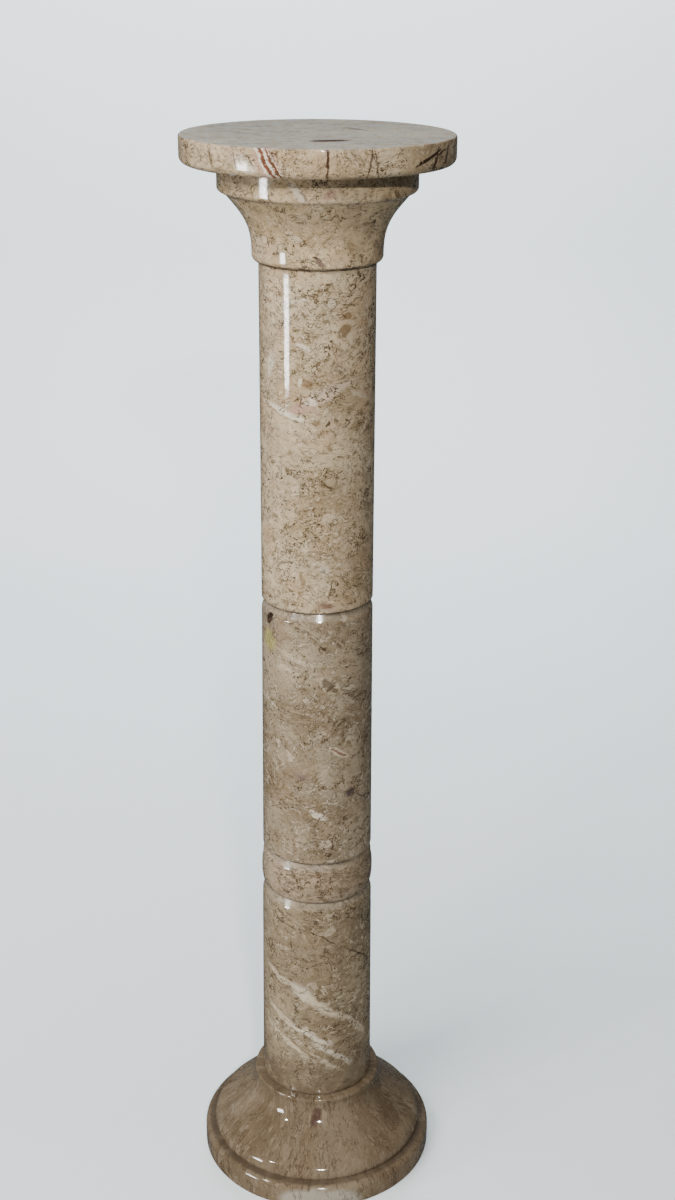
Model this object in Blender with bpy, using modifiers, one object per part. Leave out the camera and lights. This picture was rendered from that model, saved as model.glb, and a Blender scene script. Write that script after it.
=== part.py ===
# Turned marble column: seven stacked pieces on one vertical axis.
# Metres, +Z up. The column stands on z = 0 and its axis is the Z axis.
import math

import bpy

# Heights of the pieces, from the floor up, and the joint between two of them
BASE_HEIGHT = 0.0865
LOWER_DRUM_HEIGHT = 0.2155
RING_HEIGHT = 0.0422
MIDDLE_DRUM_HEIGHT = 0.2508
UPPER_DRUM_HEIGHT = 0.3002
CAPITAL_HEIGHT = 0.0800
SLAB_HEIGHT = 0.0230
JOINT_GAP = 0.0003

# Radius of the shaft at its foot, at its three grooves and under the capital
FOOT_RADIUS = 0.0538
THIRD_GROOVE_RADIUS = 0.0524
SECOND_GROOVE_RADIUS = 0.0516
FIRST_GROOVE_RADIUS = 0.0503
SHAFT_TOP_RADIUS = 0.0498

# Edges of the drums: a broad bevel above, a fine one below
TOP_BEVEL_HEIGHT = 0.0094
TOP_BEVEL_DEPTH = 0.0046
TOP_BEVEL_ROUND = 0.0034
FINE_EDGE = 0.0008

# Ring: how far its belly stands out, where that is, and its turned-in lower edge
RING_SWELL = 0.0004
RING_BELLY_HEIGHT = 0.0150
RING_FOOT_DEPTH = 0.0032

# Base: plinth disc, dome that swells over it, hollow moulding and collar
PLINTH_RADIUS = 0.1134
PLINTH_HEIGHT = 0.0236
PLINTH_TOP_EDGE = 0.0067
PLINTH_FOOT_EDGE = 0.0008
DOME_RADIUS = 0.1036
DOME_FOOT_RISE = 0.0030
DOME_TUCK = 0.0010
DOME_TURN_RADIUS = 0.0873
DOME_TURN_RISE = 0.0218
DOME_TURN_SLOPE = math.radians(43)
COLLAR_RADIUS = 0.0618
COLLAR_THICKNESS = 0.0040
COLLAR_EDGE = 0.0018
COLLAR_OVERHANG = 0.0012
COLLAR_UNDERCUT = 0.0015

# Capital: band under the slab, rounded into a hollow moulding, and a rounded lower lip
BAND_RADIUS = 0.0836
BAND_HEIGHT = 0.0186
HOLLOW_TURN_RADIUS = 0.0763
HOLLOW_TURN_DROP = 0.0253
HOLLOW_TURN_SLOPE = math.radians(49)
LIP_RADIUS = 0.0554
LIP_HEIGHT = 0.0069
LIP_EDGE = 0.0055

# Round top slab
SLAB_RADIUS = 0.1140
SLAB_TOP_EDGE = 0.0018
SLAB_LOWER_EDGE = 0.0060

# Fineness of the turned meshes
TURN_STEPS = 60
EDGE_STEPS = 3
CURVE_STEPS = 6
WAVE_PULL = 0.43

OBJECT_NAME = "marble_column"
MERGE_DISTANCE = 0.00001
SHARP_ANGLE = math.radians(35)


def clear_scene():
    for item in list(bpy.data.objects):
        bpy.data.objects.remove(item, do_unlink=True)


def arc(centre, radii, start, end, steps):
    """Points on an ellipse; angles in degrees, 0 outwards and 90 upwards."""
    points = []
    for step in range(steps + 1):
        angle = math.radians(start + (end - start) * step / steps)
        points.append((centre[0] + radii[0] * math.cos(angle), centre[1] + radii[1] * math.sin(angle)))
    return points


def bend(start, pull_start, pull_end, end, steps):
    """Points on a curve that leaves start towards pull_start and reaches end from pull_end."""
    points = []
    for step in range(steps + 1):
        t = step / steps
        weights = ((1 - t) ** 3, 3 * t * (1 - t) ** 2, 3 * t * t * (1 - t), t ** 3)
        corners = (start, pull_start, pull_end, end)
        points.append(tuple(sum(w * p[axis] for w, p in zip(weights, corners)) for axis in range(2)))
    return points


def round_edge_top(radius, top, size, steps=EDGE_STEPS):
    """Quarter round where a flat top meets an outer side."""
    return arc((radius - size, top - size), (size, size), 90, 0, steps)


def round_edge_foot(radius, foot, size, steps=EDGE_STEPS):
    """Quarter round where an outer side meets a flat underside."""
    return arc((radius - size, foot + size), (size, size), 0, -90, steps)


def bevelled_top(radius, top):
    """Broad bevel at the head of a drum, eased where it meets the side."""
    inner = (radius - TOP_BEVEL_DEPTH, top)
    corner = (radius, top - TOP_BEVEL_HEIGHT)
    length = math.hypot(TOP_BEVEL_DEPTH, TOP_BEVEL_HEIGHT)
    ease = TOP_BEVEL_ROUND / length
    before = (corner[0] - TOP_BEVEL_DEPTH * ease, corner[1] + TOP_BEVEL_HEIGHT * ease)
    after = (radius, corner[1] - TOP_BEVEL_ROUND)
    return [inner] + bend(before, corner, corner, after, EDGE_STEPS)


def turned(name, profile, material):
    """Solid of revolution: the profile runs from the axis at the top to the axis at the foot."""
    outline = [(0.0, profile[0][1])] + profile + [(0.0, profile[-1][1])]
    mesh = bpy.data.meshes.new(name)
    vertices = [(radius, 0.0, height) for radius, height in outline]
    edges = [(index, index + 1) for index in range(len(outline) - 1)]
    mesh.from_pydata(vertices, edges, [])
    piece = bpy.data.objects.new(name, mesh)
    mesh.materials.append(material)
    bpy.data.collections[OBJECT_NAME].objects.link(piece)
    screw = piece.modifiers.new("turn", "SCREW")
    screw.axis = "Z"
    screw.angle = 2 * math.pi
    screw.steps = TURN_STEPS
    screw.render_steps = TURN_STEPS
    screw.use_merge_vertices = True
    screw.merge_threshold = MERGE_DISTANCE
    screw.use_smooth_shade = False
    evaluated = piece.evaluated_get(bpy.context.evaluated_depsgraph_get())
    solid = bpy.data.meshes.new_from_object(evaluated)
    piece.modifiers.remove(screw)
    piece.data = solid
    solid.name = name
    solid.shade_smooth()
    solid.set_sharp_from_angle(angle=SHARP_ANGLE)
    bpy.data.meshes.remove(mesh)
    return piece


def wave(start, turn, end, slope):
    """Reverse curve: straight down at both ends, and at the given slope where it turns."""
    side = math.copysign(1.0, end[0] - start[0])
    heading = (side * math.cos(slope), -math.sin(slope))
    first = WAVE_PULL * math.dist(start, turn)
    second = WAVE_PULL * math.dist(turn, end)
    upper = bend(start, (start[0], start[1] - first),
                 (turn[0] - heading[0] * first, turn[1] - heading[1] * first), turn, CURVE_STEPS)
    lower = bend(turn, (turn[0] + heading[0] * second, turn[1] + heading[1] * second),
                 (end[0], end[1] + second), end, CURVE_STEPS)
    return upper + lower[1:]


def base_profile(foot, top):
    """Collar, hollow moulding, dome and plinth disc, from the collar's top down."""
    plinth_top = foot + PLINTH_HEIGHT
    collar_foot = top - COLLAR_THICKNESS
    collar = round_edge_top(COLLAR_RADIUS, top, COLLAR_EDGE) + [(COLLAR_RADIUS, collar_foot)]
    dome = wave((COLLAR_RADIUS - COLLAR_OVERHANG, collar_foot - COLLAR_UNDERCUT),
                (DOME_TURN_RADIUS, plinth_top + DOME_TURN_RISE),
                (DOME_RADIUS, plinth_top + DOME_FOOT_RISE), DOME_TURN_SLOPE)
    tuck = [(DOME_RADIUS - DOME_TUCK, plinth_top)]
    plinth = (round_edge_top(PLINTH_RADIUS, plinth_top, PLINTH_TOP_EDGE)
              + round_edge_foot(PLINTH_RADIUS, foot, PLINTH_FOOT_EDGE, 1))
    return collar + dome + tuck + plinth


def drum_profile(foot, top, top_radius, foot_radius):
    """Drum with a broad bevel at its head, used where a groove lies above it."""
    return bevelled_top(top_radius, top) + round_edge_foot(foot_radius, foot, FINE_EDGE, 1)


def plain_drum_profile(foot, top, top_radius, foot_radius):
    """Drum with fine edges, used under the capital."""
    return (round_edge_top(top_radius, top, FINE_EDGE, 1)
            + round_edge_foot(foot_radius, foot, FINE_EDGE, 1))


def ring_profile(foot, top):
    """Convex ring: bevelled head, belly that stands out, and a lower edge that turns in."""
    belly_radius = THIRD_GROOVE_RADIUS + RING_SWELL
    belly = foot + RING_BELLY_HEIGHT
    shoulder = bevelled_top(SECOND_GROOVE_RADIUS, top)
    side = bend(shoulder[-1],
                (belly_radius, (shoulder[-1][1] + belly) / 2),
                (belly_radius, (shoulder[-1][1] + belly) / 2),
                (belly_radius, belly), EDGE_STEPS)
    turned_in = arc((belly_radius - RING_FOOT_DEPTH, belly), (RING_FOOT_DEPTH, RING_BELLY_HEIGHT),
                    0, -90, CURVE_STEPS)
    return shoulder + side[1:] + turned_in[1:]


def capital_profile(foot, top):
    """Plain band, hollow moulding and rounded lip, from the band's top down."""
    hollow = wave((BAND_RADIUS, top - BAND_HEIGHT),
                  (HOLLOW_TURN_RADIUS, top - HOLLOW_TURN_DROP),
                  (LIP_RADIUS, foot + LIP_HEIGHT), HOLLOW_TURN_SLOPE)
    return [(BAND_RADIUS, top)] + hollow + round_edge_foot(LIP_RADIUS, foot, LIP_EDGE)


def slab_profile(foot, top):
    """Flat disc with an eased upper edge and a rounder lower edge."""
    return (round_edge_top(SLAB_RADIUS, top, SLAB_TOP_EDGE)
            + round_edge_foot(SLAB_RADIUS, foot, SLAB_LOWER_EDGE))


def stacked(heights):
    """Foot and top of each piece, with a joint gap between two pieces."""
    places = []
    foot = 0.0
    for height in heights:
        places.append((foot, foot + height))
        foot += height + JOINT_GAP
    return places


def marble(name, colour, roughness):
    material = bpy.data.materials.new(name)
    material.use_nodes = True
    shader = material.node_tree.nodes["Principled BSDF"]
    shader.inputs["Base Color"].default_value = (*colour, 1.0)
    shader.inputs["Roughness"].default_value = roughness
    shader.inputs["Metallic"].default_value = 0.0
    material.diffuse_color = (*colour, 1.0)
    return material


def build_column():
    clear_scene()
    bpy.context.scene.collection.children.link(bpy.data.collections.new(OBJECT_NAME))
    places = stacked((BASE_HEIGHT, LOWER_DRUM_HEIGHT, RING_HEIGHT, MIDDLE_DRUM_HEIGHT,
                      UPPER_DRUM_HEIGHT, CAPITAL_HEIGHT, SLAB_HEIGHT))
    base, lower, ring, middle, upper, capital, slab = places

    turned("base", base_profile(*base), marble("base_marble", (0.27, 0.20, 0.14), 0.18))
    turned("lower_drum", drum_profile(*lower, THIRD_GROOVE_RADIUS, FOOT_RADIUS),
           marble("lower_drum_marble", (0.29, 0.22, 0.155), 0.16))
    turned("ring", ring_profile(*ring), marble("ring_marble", (0.31, 0.235, 0.17), 0.16))
    turned("middle_drum", drum_profile(*middle, FIRST_GROOVE_RADIUS, SECOND_GROOVE_RADIUS),
           marble("middle_drum_marble", (0.36, 0.29, 0.22), 0.15))
    turned("upper_drum", plain_drum_profile(*upper, SHAFT_TOP_RADIUS, FIRST_GROOVE_RADIUS),
           marble("upper_drum_marble", (0.45, 0.36, 0.265), 0.14))
    turned("capital", capital_profile(*capital), marble("capital_marble", (0.44, 0.345, 0.25), 0.14))
    turned("top_slab", slab_profile(*slab), marble("top_slab_marble", (0.43, 0.345, 0.255), 0.12))


build_column()
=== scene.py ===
import bmesh
import bpy
import math
from mathutils import Euler, Matrix, Vector, noise


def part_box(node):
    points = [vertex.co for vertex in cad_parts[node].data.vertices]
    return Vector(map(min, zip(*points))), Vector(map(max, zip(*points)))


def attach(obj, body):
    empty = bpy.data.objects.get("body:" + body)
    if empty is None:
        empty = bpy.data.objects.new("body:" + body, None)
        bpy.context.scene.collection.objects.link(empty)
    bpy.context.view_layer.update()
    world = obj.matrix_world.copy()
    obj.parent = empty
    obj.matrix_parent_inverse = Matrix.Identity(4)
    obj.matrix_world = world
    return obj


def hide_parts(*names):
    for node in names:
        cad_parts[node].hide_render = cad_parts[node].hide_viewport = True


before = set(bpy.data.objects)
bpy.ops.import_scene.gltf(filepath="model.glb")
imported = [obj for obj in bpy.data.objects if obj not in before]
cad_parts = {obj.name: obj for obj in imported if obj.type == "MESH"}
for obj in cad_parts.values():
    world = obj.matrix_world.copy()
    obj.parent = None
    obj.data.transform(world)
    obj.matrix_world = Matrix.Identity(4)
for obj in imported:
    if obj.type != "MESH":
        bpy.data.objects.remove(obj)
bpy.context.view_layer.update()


# Camera: standing in front of the column, looking down at it
cameraSet = {
    "distance": 1.4164, "height": 1.1510, "down": 21.60, "turn": 0.74, "roll": 0.328,
    "focalPixels": 1682.35, "imageHeight": 1200, "sensor": 36.0,
}


def makeCamera(c):
    data = bpy.data.cameras.new("camera")
    data.sensor_fit = "AUTO"
    data.sensor_width = c["sensor"]
    data.lens = c["focalPixels"] / c["imageHeight"] * c["sensor"]
    data.clip_start = 0.01
    camera = bpy.data.objects.new("camera", data)
    bpy.context.scene.collection.objects.link(camera)
    down, turn, roll = (math.radians(c[k]) for k in ("down", "turn", "roll"))
    ahead = Vector((math.sin(turn) * math.cos(down), math.cos(turn) * math.cos(down), -math.sin(down)))
    right = ahead.cross(Vector((0, 0, 1))).normalized()
    up = right.cross(ahead)
    rolledRight = right * math.cos(roll) + up * math.sin(roll)
    rolledUp = up * math.cos(roll) - right * math.sin(roll)
    turnMatrix = Matrix((rolledRight, rolledUp, -ahead)).transposed().to_4x4()
    camera.matrix_world = Matrix.Translation((0, -c["distance"], c["height"])) @ turnMatrix
    bpy.context.scene.camera = camera


makeCamera(cameraSet)
print("stage: camera")


# Studio: pale paper that curves up from floor to wall, soft light and two small lamps
studioSet = {
    "floorReach": 0.5, "wallAt": 2.1, "wallHeight": 3.4, "cove": 0.55, "coveSteps": 16,
    "frontWidth": 0.95, "backWidth": 2.0, "paper": (0.84, 0.905, 0.94), "paperRough": 0.85, "glow": 0.17,
}


# a place in metres from a bearing in degrees, 0 towards the camera and positive to the picture's right
def onCircle(bearing, radius, height):
    angle = math.radians(bearing)
    return Vector((radius * math.sin(angle), -radius * math.cos(angle), height))


def makeStudio(c):
    profile = [(-c["floorReach"], 0.0)]
    corner = c["wallAt"] - c["cove"]
    for step in range(c["coveSteps"] + 1):
        angle = math.pi / 2 * step / c["coveSteps"]
        profile.append((corner + c["cove"] * math.sin(angle), c["cove"] * (1 - math.cos(angle))))
    profile.append((c["wallAt"], c["wallHeight"]))
    vertices = []
    for y, z in profile:
        share = max(0.0, min(1.0, y / c["wallAt"]))
        half = c["frontWidth"] / 2 + share * (c["backWidth"] - c["frontWidth"]) / 2
        vertices += [(-half, y, z), (half, y, z)]
    faces = [(2 * i, 2 * i + 1, 2 * i + 3, 2 * i + 2) for i in range(len(profile) - 1)]
    mesh = bpy.data.meshes.new("paper")
    mesh.from_pydata(vertices, [], faces)
    mesh.shade_smooth()
    paper = bpy.data.objects.new("paper", mesh)
    bpy.context.scene.collection.objects.link(paper)
    material = bpy.data.materials.new("paper")
    material.use_nodes = True
    shader = material.node_tree.nodes["Principled BSDF"]
    shader.inputs["Base Color"].default_value = (*c["paper"], 1)
    shader.inputs["Roughness"].default_value = c["paperRough"]
    shader.inputs["Emission Color"].default_value = (*c["paper"], 1)
    shader.inputs["Emission Strength"].default_value = c["glow"]
    tree = material.node_tree
    clear = tree.nodes.new("ShaderNodeBsdfTransparent")
    sides = tree.nodes.new("ShaderNodeNewGeometry")
    choose = tree.nodes.new("ShaderNodeMixShader")
    # the paper is seen from its front only, so that the column's back can be viewed
    tree.links.new(sides.outputs["Backfacing"], choose.inputs[0])
    tree.links.new(shader.outputs[0], choose.inputs[1])
    tree.links.new(clear.outputs[0], choose.inputs[2])
    tree.links.new(choose.outputs[0], tree.nodes["Material Output"].inputs["Surface"])
    mesh.materials.append(material)
    paper.visible_glossy = False  # a dim room, not the pale paper, is mirrored in the polish


# each light stands at (bearing, distance from the axis, height); power in watts
lightSet = {
    "key": {"at": (-38, 2.0, 2.0), "aim": (0, 0, 0.6), "size": (0.8, 0.6), "power": 36,
            "tint": (1.0, 0.985, 0.96)},
    "frontCard": {"at": (-16, 2.3, 2.9), "aim": (0, 0, 0.5), "size": (1.4, 0.9), "power": 44,
                  "tint": (1.0, 0.99, 0.97)},
    "wallWash": {"at": (180, 0.5, 2.6), "aim": (0, 2.1, 2.31), "size": (2.6, 0.5), "power": 148,
                 "tint": (0.95, 0.99, 1.0)},
    "leftCard": {"at": (-100, 1.7, 0.36), "aim": (0, 0, 0.36), "size": (1.9, 0.52), "power": 1,
                 "tint": (1.0, 0.99, 0.97), "shines": True},
    "leftWindow": {"at": (-62, 2.0, 0.525), "aim": (0, 0, 0.525), "size": (0.34, 0.45), "power": 21,
                   "tint": (1.0, 1.0, 1.0), "shines": True},
    "leftLamp": {"at": (-53, 2.3, 1.90), "aim": (0, 0, 0.3), "size": (0.10, 0.10), "power": 15,
                 "tint": (1.0, 0.97, 0.92), "shines": True},
    "frontLamp": {"at": (5.0, 2.5, 1.90), "aim": (0, 0, 0.3), "size": (0.14, 0.09), "power": 44,
                  "tint": (1.0, 0.97, 0.92), "shines": True},
}
airSet = {"colour": (0.80, 0.87, 0.93), "strength": 0.08}  # faint light from all sides


def makeLights(lights, air):
    for name, c in lights.items():
        data = bpy.data.lights.new(name, "AREA")
        data.shape = "RECTANGLE"
        data.size, data.size_y = c["size"]
        data.energy = c["power"]
        data.color = c["tint"]
        lamp = bpy.data.objects.new(name, data)
        bpy.context.scene.collection.objects.link(lamp)
        place = onCircle(*c["at"])
        lamp.location = place
        lamp.rotation_euler = (Vector(c["aim"]) - place).to_track_quat("-Z", "Y").to_euler()
        lamp.visible_glossy = c.get("shines", False)  # the broad cards are not mirrored in the polish
    world = bpy.data.worlds.new("studioAir")
    bpy.context.scene.world = world
    world.use_nodes = True
    background = world.node_tree.nodes["Background"]
    background.inputs["Color"].default_value = (*air["colour"], 1)
    background.inputs["Strength"].default_value = air["strength"]


makeStudio(studioSet)
makeLights(lightSet, airSet)
print("stage: studio")


# Marble: colour helpers that build a node tree from short calls
class Stone:
    def __init__(self, name):
        self.material = bpy.data.materials.new(name)
        self.material.use_nodes = True
        self.tree = self.material.node_tree
        self.shader = self.tree.nodes["Principled BSDF"]
        self.place = self.node("ShaderNodeTexCoord").outputs["Object"]

    def node(self, kind, **settings):
        made = self.tree.nodes.new(kind)
        for key, value in settings.items():
            setattr(made, key, value)
        return made

    def feed(self, socket, value):
        if isinstance(value, bpy.types.NodeSocket):
            self.tree.links.new(value, socket)
        elif hasattr(socket.default_value, "__len__") and len(value) == 3 and len(socket.default_value) == 4:
            socket.default_value = (*value, 1)
        else:
            socket.default_value = value

    def math(self, how, a, b=0.0):
        made = self.node("ShaderNodeMath", operation=how)
        self.feed(made.inputs[0], a)
        self.feed(made.inputs[1], b)
        return made.outputs[0]

    def vector(self, how, a, b=None, scale=None):
        made = self.node("ShaderNodeVectorMath", operation=how)
        self.feed(made.inputs[0], a)
        if b is not None:
            self.feed(made.inputs[1], b)
        if scale is not None:
            self.feed(made.inputs["Scale"], scale)
        return made.outputs["Value" if how == "LENGTH" else "Vector"]

    def mapped(self, source, move=(0, 0, 0), turn=(0, 0, 0), scale=(1, 1, 1), kind="POINT"):
        made = self.node("ShaderNodeMapping", vector_type=kind)
        self.feed(made.inputs["Vector"], source)
        self.feed(made.inputs["Location"], move)
        self.feed(made.inputs["Rotation"], turn)
        self.feed(made.inputs["Scale"], scale)
        return made.outputs["Vector"]

    def noise(self, source, scale, detail=3.0, rough=0.5, warp=0.0, colour=False):
        made = self.node("ShaderNodeTexNoise")
        self.feed(made.inputs["Vector"], source)
        self.feed(made.inputs["Scale"], scale)
        self.feed(made.inputs["Detail"], detail)
        self.feed(made.inputs["Roughness"], rough)
        self.feed(made.inputs["Distortion"], warp)
        return made.outputs["Color" if colour else "Fac"]

    def step(self, value, low, high, out=(0.0, 1.0)):
        made = self.node("ShaderNodeMapRange", interpolation_type="SMOOTHSTEP")
        self.feed(made.inputs["Value"], value)
        self.feed(made.inputs["From Min"], low)
        self.feed(made.inputs["From Max"], high)
        self.feed(made.inputs["To Min"], out[0])
        self.feed(made.inputs["To Max"], out[1])
        return made.outputs["Result"]

    def blend(self, amount, under, over):
        made = self.node("ShaderNodeMix", data_type="RGBA")
        self.feed(made.inputs[0], amount)
        self.feed(made.inputs[6], under)
        self.feed(made.inputs[7], over)
        return made.outputs[2]

    # coordinates pushed about by noise, so that marks get natural outlines
    def shaken(self, source, amount, scale, detail=3.0):
        cloud = self.noise(source, scale, detail, colour=True)
        push = self.vector("SUBTRACT", cloud, (0.5, 0.5, 0.5))
        return self.vector("ADD", source, self.vector("SCALE", push, scale=amount))

    # coordinates in which a pattern is drawn out along lines that run down and outwards from the axis
    def radial(self, radius, pull):
        flat = self.vector("MULTIPLY", self.place, (1, 1, 0))
        outward = self.vector("SCALE", self.vector("NORMALIZE", flat), scale=radius)
        parts = self.node("ShaderNodeSeparateXYZ")
        self.feed(parts.inputs[0], self.place)
        along = self.math("SUBTRACT", self.vector("LENGTH", flat), parts.outputs["Z"])
        lift = self.node("ShaderNodeCombineXYZ")
        self.feed(lift.inputs["Z"], self.math("MULTIPLY", along, pull))
        return self.vector("ADD", outward, lift.outputs[0])


# How a mark's edge is frayed: pushes by noise, each (metres, noise scale, detail), one after the other
markEdges = {"smooth": [], "fine": [(0.006, 60, 4), (0.004, 240, 3)], "coarse": [(0.012, 60, 5)]}


def frayed(stone, edge):
    source = stone.place
    for push, scale, detail in markEdges[edge]:
        source = stone.shaken(source, push, scale, detail)
    return source


# A mark is a soft-edged blob or streak: at (bearing, height, radius), size (across, tall), tilt in degrees
def addMarks(stone, colour, marks):
    sources = {edge: frayed(stone, edge) for edge in markEdges}
    for m in marks.values():
        bearing, height, radius = m["at"]
        across, tall = m["size"]
        local = stone.mapped(sources[m.get("edge", "fine")], onCircle(bearing, radius, height),
                             (0, math.radians(m.get("tilt", 0)), math.radians(bearing)),
                             (across / 2, m.get("depth", 0.02), tall / 2), kind="TEXTURE")
        reach = stone.vector("LENGTH", local)
        amount = stone.step(reach, 1.0, 1.0 - m["soft"], (0.0, m["strength"]))
        if "broken" in m:
            crumbs = stone.noise(sources["fine"], m["broken"], 2, 0.6)
            amount = stone.math("MULTIPLY", amount, stone.step(crumbs, 0.42, 0.58))
        colour = stone.blend(amount, colour, m["colour"])
    return colour


# A band runs right round a piece: low, high, soft edge, colour, strength of colour, roughness
def addBands(stone, colour, rough, bands):
    heightAt = stone.node("ShaderNodeSeparateXYZ")
    stone.feed(heightAt.inputs[0], stone.shaken(stone.place, 0.0012, 200, 3))
    patchy = stone.step(stone.noise(stone.place, 70, 5, 0.6), 0.32, 0.60, (0.45, 1.0))
    for low, high, soft, tint, strength, dull in bands:
        above = stone.step(heightAt.outputs["Z"], low, low + soft)
        below = stone.step(heightAt.outputs["Z"], high + soft, high)
        amount = stone.math("MULTIPLY", stone.math("MULTIPLY", above, below), patchy)
        colour = stone.blend(stone.math("MULTIPLY", amount, strength), colour, tint)
        keep = stone.math("MULTIPLY", rough, stone.math("SUBTRACT", 1.0, amount))
        rough = stone.math("ADD", keep, stone.math("MULTIPLY", amount, dull))
    return colour, rough


# What every block's marble shares. Names with Scale or Gate are noise scales; flow, curl and
# radialRadius are metres; grain scales each axis; the rest are shares from 0 to 1.
marbleFigure = {
    "flow": 0.026, "flowScale": 24, "broadScale": 16, "warmScale": 34, "warmth": 0.6, "greyScale": 27,
    "greyness": 0.5, "curl": 0.009, "curlScale": 85, "grain": (1.0, 1.0, 1.5), "mottleScale": 130,
    "mottle": 0.65, "shellGate": 30, "lineGate": 38, "speckScale": 360, "speckGate": 26, "specks": 0.85,
    "paleScale": 420, "paleDots": 0.5, "radialRadius": 0.085, "bands": [], "overMarks": {},
}
marblePolish = {
    "dullScale": 60, "waveScale": 34, "bump": 0.12, "bumpDepth": 0.0015, "ior": 1.52, "shine": 0.5,
}


def marble(name, settings, marks):
    c = dict(marbleFigure, **settings)
    stone = Stone(name)
    start = stone.radial(c["radialRadius"], c["radial"]) if "radial" in c else stone.place
    turned = stone.mapped(start, c["offset"])
    flow = stone.shaken(turned, c["flow"], c["flowScale"], 4)
    broad = stone.noise(flow, c["broadScale"], 5, 0.55)
    colour = stone.blend(stone.step(broad, 0.36, 0.64), c["dark"], c["light"])

    # cloudy patches of warm and grey stone
    warm = stone.noise(flow, c["warmScale"], 5, 0.6)
    colour = stone.blend(stone.step(warm, 0.48, 0.66, (0, c["warmth"])), colour, c["warm"])
    grey = stone.noise(stone.mapped(flow, (3.1, 1.7, 0.4)), c["greyScale"], 5, 0.6)
    colour = stone.blend(stone.step(grey, 0.50, 0.68, (0, c["greyness"])), colour, c["grey"])

    # drawn-out mottling, light and dark
    bent = stone.shaken(flow, c["curl"], c["curlScale"], 4)
    drawn = stone.mapped(bent, scale=c["grain"])
    mottle = stone.noise(drawn, c["mottleScale"], 6, 0.68)
    colour = stone.blend(stone.step(mottle, 0.50, 0.34, (0, c["mottle"])), colour, c["brown"])
    colour = stone.blend(stone.step(mottle, 0.54, 0.68, (0, c["mottle"])), colour, c["light"])

    # shell fragments, each pale with a thin brown outline
    for number, (scale, edge, amount) in enumerate(c["shells"]):
        shell = stone.noise(stone.mapped(drawn, (2.7 * number + 0.6, 1.9, 5.1)), scale, 5, 0.6, 0.3)
        gate = stone.noise(stone.mapped(turned, (1.7, 3.3 * number, 0.8)), c["shellGate"], 3, 0.5)
        near = stone.step(gate, 0.44, 0.60, (0.15, amount))
        rim = stone.step(stone.math("ABSOLUTE", stone.math("SUBTRACT", shell, edge - 0.014)), 0.013, 0.004)
        colour = stone.blend(stone.math("MULTIPLY", rim, near), colour, c["vein"])
        inside = stone.step(shell, edge - 0.004, edge + 0.020)
        colour = stone.blend(stone.math("MULTIPLY", inside, near), colour, c["cream"])

    # marks lie under the fine lines and specks, so that these run on across them
    colour = addMarks(stone, colour, marks)

    # thin wandering lines, each family a contour of its own noise
    for number, (scale, width, amount) in enumerate(c["lines"]):
        path = stone.noise(stone.mapped(drawn, (7.3 * number, 2.9, 4.1 * number)), scale, 5, 0.62, 0.3)
        distance = stone.math("ABSOLUTE", stone.math("SUBTRACT", path, 0.5))
        lines = stone.step(distance, width, width * 0.3)
        gate = stone.noise(stone.mapped(turned, (1.3, 5.2 * number, 2.0)), c["lineGate"], 3, 0.5)
        near = stone.step(gate, 0.42, 0.58, (0.05, amount))
        colour = stone.blend(stone.math("MULTIPLY", lines, near), colour, c["vein"])

    # fine dark specks, thicker in some places, and an even fine grain
    dots = stone.noise(stone.mapped(drawn, (0.5, 0.2, 0.9)), c["speckScale"], 3, 0.65)
    dotGate = stone.noise(stone.mapped(turned, (9.0, 4.0, 1.0)), c["speckGate"], 4, 0.55)
    thick = stone.step(dotGate, 0.38, 0.62, (0.12, c["specks"]))
    specks = stone.math("MULTIPLY", stone.step(dots, 0.56, 0.66), thick)
    colour = stone.blend(specks, colour, c["speck"])
    paleDots = stone.noise(stone.mapped(bent, (4.5, 6.2, 0.3)), c["paleScale"], 2, 0.6)
    colour = stone.blend(stone.step(paleDots, 0.60, 0.72, (0, c["paleDots"])), colour, c["cream"])

    # polish: slightly uneven gloss, with the fine specks cut a hair deeper than the stone round them
    polish = marblePolish
    dull = stone.noise(turned, polish["dullScale"], 4, 0.6)
    rough = stone.step(stone.math("ADD", dull, stone.math("MULTIPLY", specks, 0.25)), 0.30, 0.80, c["rough"])
    colour, rough = addBands(stone, colour, rough, c["bands"])
    colour = addMarks(stone, colour, c["overMarks"])
    stone.feed(stone.shader.inputs["Base Color"], colour)
    stone.feed(stone.shader.inputs["Roughness"], rough)
    if "dullAbove" in c:  # the worn top has lost its polish
        heightAt = stone.node("ShaderNodeSeparateXYZ")
        stone.feed(heightAt.inputs[0], stone.place)
        fade = (c["dullAbove"], c["dullAbove"] + 0.0004)
        stone.feed(stone.shader.inputs["Specular IOR Level"],
                   stone.step(heightAt.outputs["Z"], *fade, (polish["shine"], 0.0)))
    waves = stone.noise(turned, polish["waveScale"], 2, 0.5)
    relief = stone.math("ADD", waves, stone.math("MULTIPLY", specks, -0.08))
    bump = stone.node("ShaderNodeBump")
    bump.inputs["Strength"].default_value = polish["bump"]
    bump.inputs["Distance"].default_value = polish["bumpDepth"]
    stone.feed(bump.inputs["Height"], relief)
    stone.feed(stone.shader.inputs["Normal"], bump.outputs["Normal"])
    stone.shader.inputs["IOR"].default_value = polish["ior"]
    return stone.material


# Profiles run down the outer side, from a piece's top to its foot, as (radius, height)
def arc(centre, radii, start, end, steps):
    points = []
    for step in range(steps + 1):
        angle = math.radians(start + (end - start) * step / steps)
        points.append((centre[0] + radii[0] * math.cos(angle), centre[1] + radii[1] * math.sin(angle)))
    return points


def bend(start, pullStart, pullEnd, end, steps):
    points = []
    for step in range(steps + 1):
        t = step / steps
        weights = ((1 - t) ** 3, 3 * t * (1 - t) ** 2, 3 * t * t * (1 - t), t ** 3)
        corners = (start, pullStart, pullEnd, end)
        points.append(tuple(sum(w * p[axis] for w, p in zip(weights, corners)) for axis in range(2)))
    return points


def roundTop(radius, top, size, steps=8):
    return arc((radius - size, top - size), (size, size), 90, 0, steps)


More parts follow.
